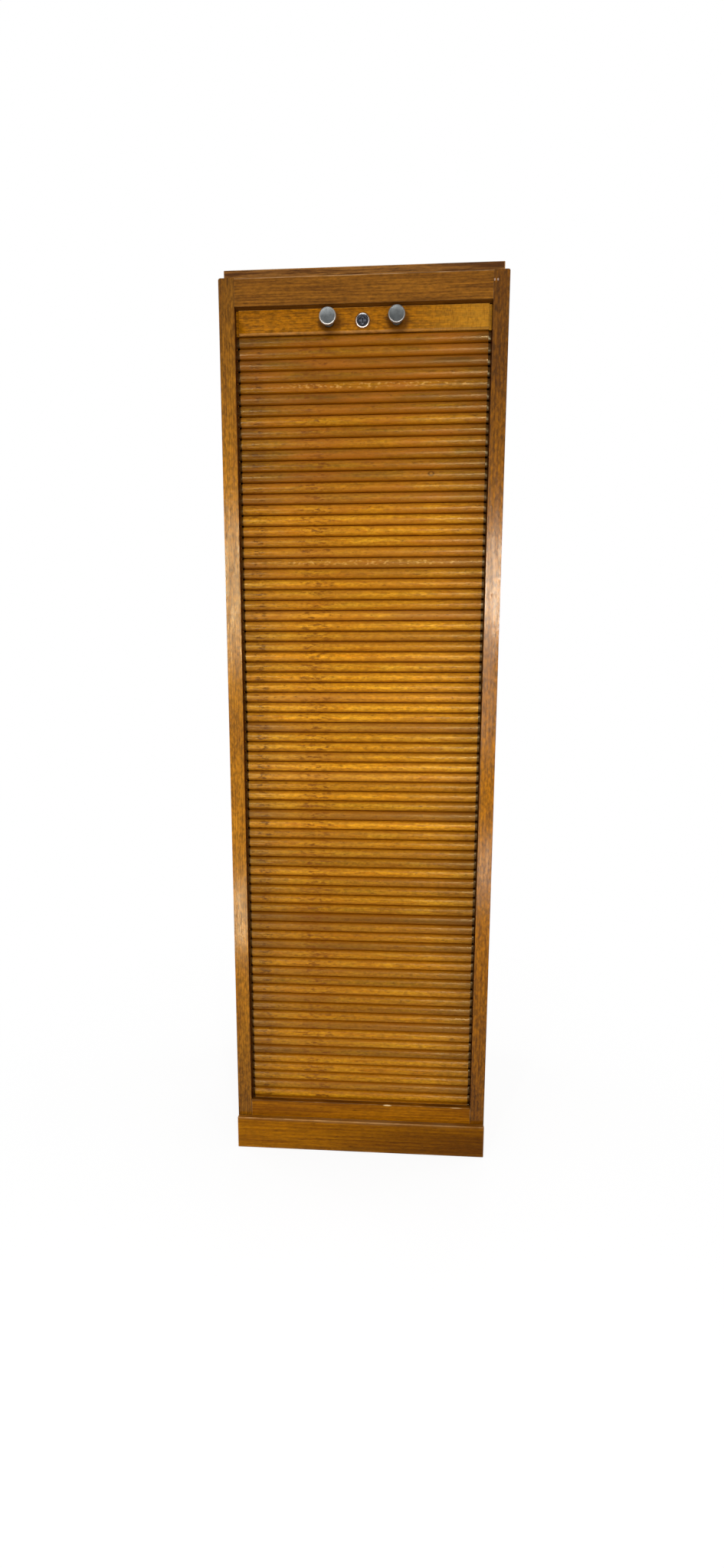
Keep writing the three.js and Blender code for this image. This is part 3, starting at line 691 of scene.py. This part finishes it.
grey_slats, grey_tone = (2, 5, 14, 20, 25, 36, 45, 56, 68, 75), 0.3
pale_slats, palest, darkest = (9, 33, 46, 61, 69), 1.32, 0.7
tone_draw, light_draw = random.Random(77), random.Random(12)
slat = make_slat()
slats = []
for i in range(slat_count):
    piece = slat.copy()
    piece.data = slat.data.copy()
    piece.name = piece.data.name = f"slat_{i + 1:02d}"
    bpy.context.scene.collection.objects.link(piece)
    figured(piece, Vector((0.0, -i * row_step, 0.0)))
    middle, turn = carried((i + 0.5) * pitch)
    piece.data.transform(Matrix.Translation(middle) @ Matrix.Rotation(turn, 4, "X"))
    tone = grey_tone if i in grey_slats else within(tone_draw.gauss(0.86, 0.18), 0.0, 1.0)
    paleness = palest if i in pale_slats else within(light_draw.gauss(0.99, 0.19), darkest, palest)
    marked(piece, "tone", tone)
    marked(piece, "shade", painted_falloff_share(i))
    marked(piece, "light", paleness)
    settle(piece, slat_oak, "shutter", "slat_oak")
    slats.append(piece)
bpy.data.objects.remove(slat)
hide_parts("slat_curtain")
# Each slat gets a mesh of its own. For the slats in the bend a level far above them is worked out, which
# nothing here uses.
straight_slats = int((shutter_top - bend_level) / pitch)
far_off = 100 * travel
for i, piece in enumerate(slats):
    if i < straight_slats:
        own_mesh(piece)
    else:
        level = carried((i + 0.5) * pitch)[0].z + far_off
        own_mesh(piece)

# Canvas: one strip of coarse cotton, glued to the backs of all the slats, with its upper end clamped
# to the lead rail.
thread_pitch = 0.0011
canvas, tree, surface = new_finish("canvas")
thread_place = add(tree, "UVMap", [], uv_map="cloth").outputs[0]
threads = [
    add(tree, "TexWave",
        {"Vector": thread_place, "Scale": wave_length / thread_pitch, "Distortion": 0.6, "Detail": 1.0},
        wave_type="BANDS", bands_direction=way).outputs[1]
    for way in ("X", "Y")
]
weave = add(tree, "Math", [*threads], operation="MAXIMUM").outputs[0]
dirt = sloped(tree, stretched_noise(tree, thread_place, (9.0, 9.0, 9.0), 4.0), 0.45, 0.7, 0.0, 0.5)
cloth = mixed(tree, weave, opaque((0.28, 0.23, 0.15)), opaque((0.52, 0.46, 0.34)))
cloth = mixed(tree, dirt, cloth, opaque((0.3, 0.2, 0.1)))
# Glue and varnish have soaked the side that shows between the slats, and it is painted darker still as shade
# in the gaps
facing = split(tree, add(tree, "TexCoord", []).outputs["Normal"])[1]
cloth = mixed(tree, sloped(tree, facing, -0.6, -0.2, 0.95, 0.0), cloth, opaque((0.06, 0.016, 0.001)))
tree.links.new(cloth, surface.inputs["Base Color"])
surface.inputs["Roughness"].default_value = 0.92
bumped(tree, weave, 0.6, 0.0003)

cloth_low, cloth_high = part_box("canvas_backing")
cloth_width = cloth_high.x - cloth_low.x
cloth_depth, cloth_thickness = 0.0041, 0.0008
clamped = cloth_high.z - shutter_top
cloth_length = slat_count * pitch + clamped
bpy.ops.object.select_all(action="DESELECT")
bpy.ops.mesh.primitive_grid_add(x_subdivisions=2, y_subdivisions=2 * slat_count, size=1.0, calc_uvs=True)
strip = bpy.context.active_object
strip.name = strip.data.name = "canvas_strip"
for vertex in strip.data.vertices:
    middle, turn = carried((0.5 - vertex.co.y) * cloth_length - clamped)
    behind = Matrix.Rotation(turn, 3, "X") @ Vector((0.0, cloth_depth, 0.0))
    vertex.co = middle + behind + Vector((vertex.co.x * cloth_width, 0.0, 0.0))
cut = strip.data.uv_layers[0]
cut.name = "cloth"
for corner in cut.uv:
    corner.vector = (corner.vector.x * cloth_width, corner.vector.y * cloth_length)
alone(strip)
thicken = strip.modifiers.new("thickness", "SOLIDIFY")
thicken.thickness, thicken.offset = cloth_thickness, 0.0
bpy.ops.object.modifier_apply(modifier=thicken.name)
bpy.ops.object.shade_smooth_by_angle(angle=math.radians(40))
settle(strip, canvas, "shutter", "canvas", "canvas_backing")
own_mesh(strip)

# Batten: a thin oak strip that clamps the canvas in a rebate of the lead rail. It is sealed like the
# inside and not varnished.
batten_arris = 0.0005
settle(board("canvas_batten", batten_arris), inside_oak, "shutter", "inside_oak", "canvas_batten")

# Lead rail: the flat oak board at the top of the shutter, with tongues in the tracks, bored for the
# knobs and pocketed for the lock. Its lower arris is rounded and painted pale, partly as bared wood and
# partly as a painted highlight, and round the knobs and the lock there is dirt from hands and painted
# shadow.
lead_arris, lead_edge = 0.001, 0.003
knob_low, knob_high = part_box("knob_right")
knob_reach, fitting_level = (knob_low.x + knob_high.x) / 2, (knob_low.z + knob_high.z) / 2
lead_oak = oak("lead_oak", "x", (0.3, 0.106, 0.0015), (0.145, 0.045, 0.001), pith=(0.5, 0.04, 0.2),
               ring=0.0036, blotch=0.2, streaky=0.55, arris_wear_and_highlight_level=0.3, mottle=0.36)
knob_dirt_and_shadow, lock_dirt_and_shadow = 0.0235, 0.0145
# Dirt from hands and painted shadow round each knob, set a little to the right and below, and a thin ring of
# both round the lock
for x, lower, reach, core in (
    (-knob_reach + 0.002, 0.001, knob_dirt_and_shadow, 0.62), (knob_reach + 0.002, 0.001, knob_dirt_and_shadow, 0.62),
    (0.0, 0.0, lock_dirt_and_shadow, 0.8),
):
    middle = (x, lead_low.y, fitting_level - lower)
    spotted(lead_oak, middle, (reach, 0.05, reach), (0.07, 0.02, 0.001), 0.75, core=core)
# The right end is paler, with short dark ticks where the board is cut along the rays
tree = lead_oak.node_tree
place = object_place(tree)
aside = split(tree, place)[0]
laid_over(lead_oak, (0.46, 0.22, 0.02), sloped(tree, aside, 0.07, 0.19, 0.0, 0.45))
ticks = sloped(tree, stretched_noise(tree, place, (520.0, 90.0, 110.0), 2.0), 0.53, 0.64, 0.0, 0.5)
laid_over(lead_oak, (0.15, 0.05, 0.003), product(tree, ticks, sloped(tree, aside, 0.05, 0.13)))
lead = grooved("lead_rail")
# The lower arris is rounded, and its faces are painted pale, partly as bared wood and partly as a painted
# highlight
ease(lead, lead_edge, lies_at(y=lead_low.y, z=lead_low.z), segments=4)
ease(lead, lead_arris)
settle(lead, lead_oak, "shutter", "lead_oak", "lead_rail")

# Knobs: two turned aluminium discs on waisted necks, dull grey, with a painted highlight on the rim that is
# strongest below and a neck painted dark as shade, each held by a steel screw from behind.


def turned(name, middle, rings, sides=48):
    """A turned piece whose axis runs front to back: a disc drawn out through rings of radius and depth."""
    radius, depth = rings[0]
    bpy.ops.object.select_all(action="DESELECT")
    bpy.ops.mesh.primitive_circle_add(
        vertices=sides, radius=radius, fill_type="NGON",
        location=middle + Vector((0.0, depth, 0.0)), rotation=(math.radians(90), 0.0, 0.0),
    )
    piece = bpy.context.active_object
    piece.name = piece.data.name = name
    bpy.ops.object.transform_apply(location=True, rotation=True, scale=True)
    bpy.ops.object.mode_set(mode="EDIT")
    bpy.ops.mesh.select_mode(type="FACE")
    bpy.ops.mesh.select_all(action="SELECT")
    for wide, deep in rings[1:]:
        bpy.ops.mesh.extrude_region_move(TRANSFORM_OT_translate={"value": (0.0, deep - depth, 0.0)})
        bpy.ops.transform.resize(value=(wide / radius, 1.0, wide / radius), center_override=middle)
        radius, depth = wide, deep
    return piece


def closed(piece):
    """Ends the shaping of a turned piece: no doubled points, faces outwards, sharp only at corners."""
    bpy.ops.mesh.select_all(action="SELECT")
    bpy.ops.mesh.remove_doubles(threshold=1e-7)
    bpy.ops.mesh.normals_make_consistent(inside=False)
    bpy.ops.object.mode_set(mode="OBJECT")
    bpy.ops.object.shade_smooth_by_angle(angle=math.radians(35))
    return piece


def turned_places(tree):
    """Where a point of a turned piece is: how far from the axis, aside, behind the face and above."""
    local = stored(tree, "figure", "Vector")
    level = add(tree, "VectorMath", [local, (1.0, 0.0, 1.0)], operation="MULTIPLY").outputs[0]
    radius = add(tree, "VectorMath", [level], operation="LENGTH").outputs["Value"]
    return radius, *split(tree, local)


knob_rings = [
    (0.0112, 0.00035), (0.0119, 0.00005), (0.0127, 0.0), (0.0134, 0.0003), (0.0138, 0.0009), (0.014, 0.0018),
    (0.014, 0.0035), (0.0136, 0.0043), (0.0122, 0.0048), (0.008, 0.006), (0.0064, 0.0076), (0.006, 0.0095),
    (0.006, 0.015), (0.0066, 0.017), (0.0085, 0.0184), (0.0085, 0.0195), (0.0023, 0.0195), (0.0023, 0.0075),
]
knob_metal = metal("knob_aluminium", (0.13, 0.138, 0.138), 0.4, marks=(500.0, 500.0, 500.0), spread=0.06)
tree = knob_metal.node_tree
radius, _, depth, height = turned_places(tree)
# A painted highlight on the rim, strongest below, and painted shade on the neck
rim = product(tree, sloped(tree, radius, 0.0113, 0.0129), sloped(tree, depth, 0.0038, 0.0045, 1.0, 0.0))
laid_over(knob_metal, (0.5, 0.46, 0.42), product(tree, rim, sloped(tree, height, -0.012, 0.012, 0.8, 0.2)))
laid_over(knob_metal, (0.03, 0.025, 0.02), sloped(tree, depth, 0.0042, 0.0052, 0.0, 0.95))
# The right knob is more tarnished than the left one
side = split(tree, object_place(tree))[0]
laid_over(knob_metal, (0.05, 0.053, 0.052), sloped(tree, side, -0.02, 0.02, 0.0, 0.42))
circles = {"W": product(tree, radius, 4200.0), "Detail": 2.0}
lathe_marks = add(tree, "TexNoise", circles, noise_dimensions="1D").outputs[0]
bumped(tree, lathe_marks, 0.4, 0.00004)
for word, x in (("left", -knob_reach), ("right", knob_reach)):
    middle = Vector((x, knob_low.y, fitting_level))
    knob = closed(turned(f"knob_{word}_turned", middle, knob_rings))
    figured(knob, middle)
    settle(knob, knob_metal, "shutter", "knob_metal", f"knob_{word}")
dress(steel, "steel", "knob_screw_left", "knob_screw_right")

# Lock: a nickel-plated collar, dished towards a dark brass plug with a keyway, and behind the rail
# the steel case and the hook that swings up into the header.
collar_middle = Vector((0.0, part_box("lock_collar")[0].y, fitting_level))
collar_rings = [
    (0.0065, 0.0017), (0.0088, 0.0013), (0.0095, 0.0005), (0.0099, 0.0001), (0.0105, 0.0), (0.0111, 0.0002),
    (0.0115, 0.0007), (0.0117, 0.0014), (0.0117, 0.0027), (0.0087, 0.0027), (0.0087, 0.0122),
    (0.0065, 0.0122), (0.0065, 0.0017),
]
collar = turned("lock_collar_turned", collar_middle, collar_rings)
select_by(collar, "FACE", lambda face: len(face.verts) > 4)
bpy.ops.mesh.delete(type="FACE")
closed(collar)


def bite(piece, middle, size):
    """Cuts a box out of a piece."""
    bpy.ops.object.select_all(action="DESELECT")
    bpy.ops.mesh.primitive_cube_add(size=1.0, location=middle, scale=size)
    cutter = bpy.context.active_object
    bpy.ops.object.transform_apply(location=True, rotation=True, scale=True)
    alone(piece)
    slot = piece.modifiers.new("slot", "BOOLEAN")
    slot.object, slot.operation, slot.solver = cutter, "DIFFERENCE", "EXACT"
    bpy.ops.object.modifier_apply(modifier=slot.name)
    bpy.data.objects.remove(cutter)


notch_place, notch_size = Vector((0.0, 0.0002, 0.0095)), (0.0021, 0.0028, 0.0046)
bite(collar, collar_middle + notch_place, notch_size)
figured(collar, collar_middle)
nickel = metal("collar_nickel", (0.86, 0.74, 0.66), 0.24, spread=0.08)
tree = nickel.node_tree
radius, aside, _, height = turned_places(tree)
# Painted light: the top is painted dark, leaving the bottom bright, with a painted glint at the top and
# painted shadow in the dish
laid_over(nickel, (0.09, 0.075, 0.07), product(tree, sloped(tree, height, -0.004, 0.006), 0.88))
narrow = sloped(tree, unsigned(tree, aside), 0.0045, 0.0065, 1.0, 0.0)
laid_over(nickel, (0.8, 0.8, 0.82), product(tree, sloped(tree, height, 0.006, 0.0088), narrow))
laid_over(nickel, (0.035, 0.035, 0.04), sloped(tree, radius, 0.0092, 0.0098, 1.0, 0.0))
settle(collar, nickel, "shutter", "collar_metal", "lock_collar")

plug_low, plug_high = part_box("lock_plug")
plug_middle = Vector((0.0, plug_low.y, fitting_level))
plug_length = plug_high.y - plug_low.y
screw_hole, screw_depth = 0.0023, 0.0052
plug = turned("lock_plug_turned", plug_middle, [
    (0.0054, 0.0), (0.0059, 0.0001), (0.0062, 0.0005), (0.0062, plug_length), (screw_hole, plug_length),
    (screw_hole, plug_length - screw_depth),
], sides=40)
closed(plug)
keyway_place, keyway_size = Vector((0.0, 0.0019, 0.0)), (0.0018, 0.0062, 0.0086)
bite(plug, plug_middle + keyway_place, keyway_size)
figured(plug, plug_middle)
brass = metal("plug_brass", (0.035, 0.034, 0.037), 0.34)
tree = brass.node_tree
_, aside, depth, height = turned_places(tree)
# A painted highlight along a cross on the face
face = sloped(tree, depth, 0.0004, 0.001, 1.0, 0.0)
for away in (height, aside):
    cross_highlight = sloped(tree, unsigned(tree, away), 0.0012, 0.002, 0.55, 0.0)
    laid_over(brass, (0.13, 0.135, 0.16), product(tree, cross_highlight, face))
settle(plug, brass, "lock", "plug_metal", "lock_plug")
dress(steel, "steel", "lock_case", "lock_screw_left", "lock_screw_right", "lock_hook", "lock_hook_screw")

# Studio: a pale floor that takes the cabinet's soft shadow and fades to white, a white world, narrow
# soft lamps in front, wide ones at the sides and the back, and the camera where the photo was taken.
bpy.ops.object.select_all(action="DESELECT")
bpy.ops.mesh.primitive_circle_add(vertices=64, radius=14.0, fill_type="NGON", location=(0, 0, 0))
floor = bpy.context.active_object
floor.name = floor.data.name = "studio_floor"


def seen_ray(tree):
    """1 for rays of the camera and for those that reflect or pass on to it, and else 0."""
    rays = add(tree, "LightPath", []).outputs
    straight_or_glossy = total(tree, rays["Is Camera Ray"], rays["Is Glossy Ray"])
    return total(tree, straight_or_glossy, rays["Is Transmission Ray"], use_clamp=True)


paper, tree, surface = new_finish("studio_paper")
tree.links.new(mixed(tree, seen_ray(tree), opaque((0.4, 0.4, 0.4)), opaque((0.86, 0.86, 0.86))),
               surface.inputs["Base Color"])
surface.inputs["Roughness"].default_value = 0.9
surface.inputs["Specular IOR Level"].default_value = 0.1
far = add(tree, "VectorMath", [object_place(tree)], operation="LENGTH").outputs["Value"]
white = add(tree, "Emission", {"Color": (1, 1, 1, 1), "Strength": 1.0}).outputs[0]
share = product(tree, seen_ray(tree), sloped(tree, far, 0.3, 1.1, 0.9, 1.0))
both = add(tree, "MixShader", [share, surface.outputs[0], white]).outputs[0]
tree.links.new(both, tree.nodes["Material Output"].inputs["Surface"])
floor.data.materials.append(paper)

world = bpy.data.worlds.new("studio_world")
world.use_nodes = True
bpy.context.scene.world = world
tree = world.node_tree
sky = tree.nodes["Background"]
sky.inputs["Color"].default_value = (1.0, 1.0, 1.0, 1.0)
tree.links.new(sloped(tree, seen_ray(tree), 0.0, 1.0, 0.3, 1.0), sky.inputs["Strength"])


def lamp(name, place, aim, wide, high, power):
    """A soft rectangular lamp that shines from a place towards a point."""
    light = bpy.data.lights.new(name, "AREA")
    light.shape, light.size, light.size_y, light.energy = "RECTANGLE", wide, high, power
    fixture = bpy.data.objects.new(name, light)
    fixture.location = place
    fixture.visible_camera = False
    fixture.rotation_euler = (Vector(aim) - Vector(place)).to_track_quat("-Z", "Y").to_euler()
    bpy.context.scene.collection.objects.link(fixture)


middle_aim, upper_aim, lower_aim = (0, 0, 0.85), (0, 0, 0.9), (0, 0, 0.8)
lamp("left_lamp", (-0.735, -2.2, 1.36), middle_aim, 0.12, 0.66, 14.2)
lamp("right_lamp", (0.495, -2.2, 1.38), middle_aim, 0.12, 0.43, 15.4)
lamp("right_soft_lamp", (0.325, -2.2, 1.05), middle_aim, 0.15, 0.9, 9.5)
lamp("left_low_lamp", (-0.46, -1.1, 0.155), (-0.22, -0.19, 0.5), 0.12, 0.2, 2.2)
lamp("right_low_lamp", (0.4, -1.5, 0.21), (0.22, -0.19, 0.55), 0.12, 0.22, 2.1)
lamp("left_fill", (-0.9, -1.4, 1.1), upper_aim, 0.4, 0.6, 2.6)
lamp("right_fill", (1.0, -1.35, 1.1), upper_aim, 0.4, 0.6, 3.2)
for name, place in (
    ("left_side_lamp", (-2.6, 0.6, 1.7)), ("right_side_lamp", (2.6, 0.6, 1.7)),
    ("back_lamp", (0.4, 3.0, 1.9)),
):
    lamp(name, place, lower_aim, 2.2, 1.6, 40.0)

camera = bpy.data.cameras.new("photo_camera")
camera.lens, camera.sensor_width, camera.sensor_fit = 15.112, 36.0, "AUTO"
camera.clip_start, camera.clip_end = 0.05, 60.0
viewer = bpy.data.objects.new("photo_camera", camera)
camera_place = (0.0732, -1.3726, 0.8954)
turn = Matrix.Identity(4)
for axis, degrees in (("Z", 3.44), ("X", -8.05), ("Y", -0.19), ("X", 90)):
    turn = turn @ Matrix.Rotation(math.radians(degrees), 4, axis)
viewer.matrix_world = Matrix.Translation(camera_place) @ turn
bpy.context.scene.collection.objects.link(viewer)
bpy.context.scene.camera = viewer
bpy.context.scene.view_settings.view_transform = "Standard"
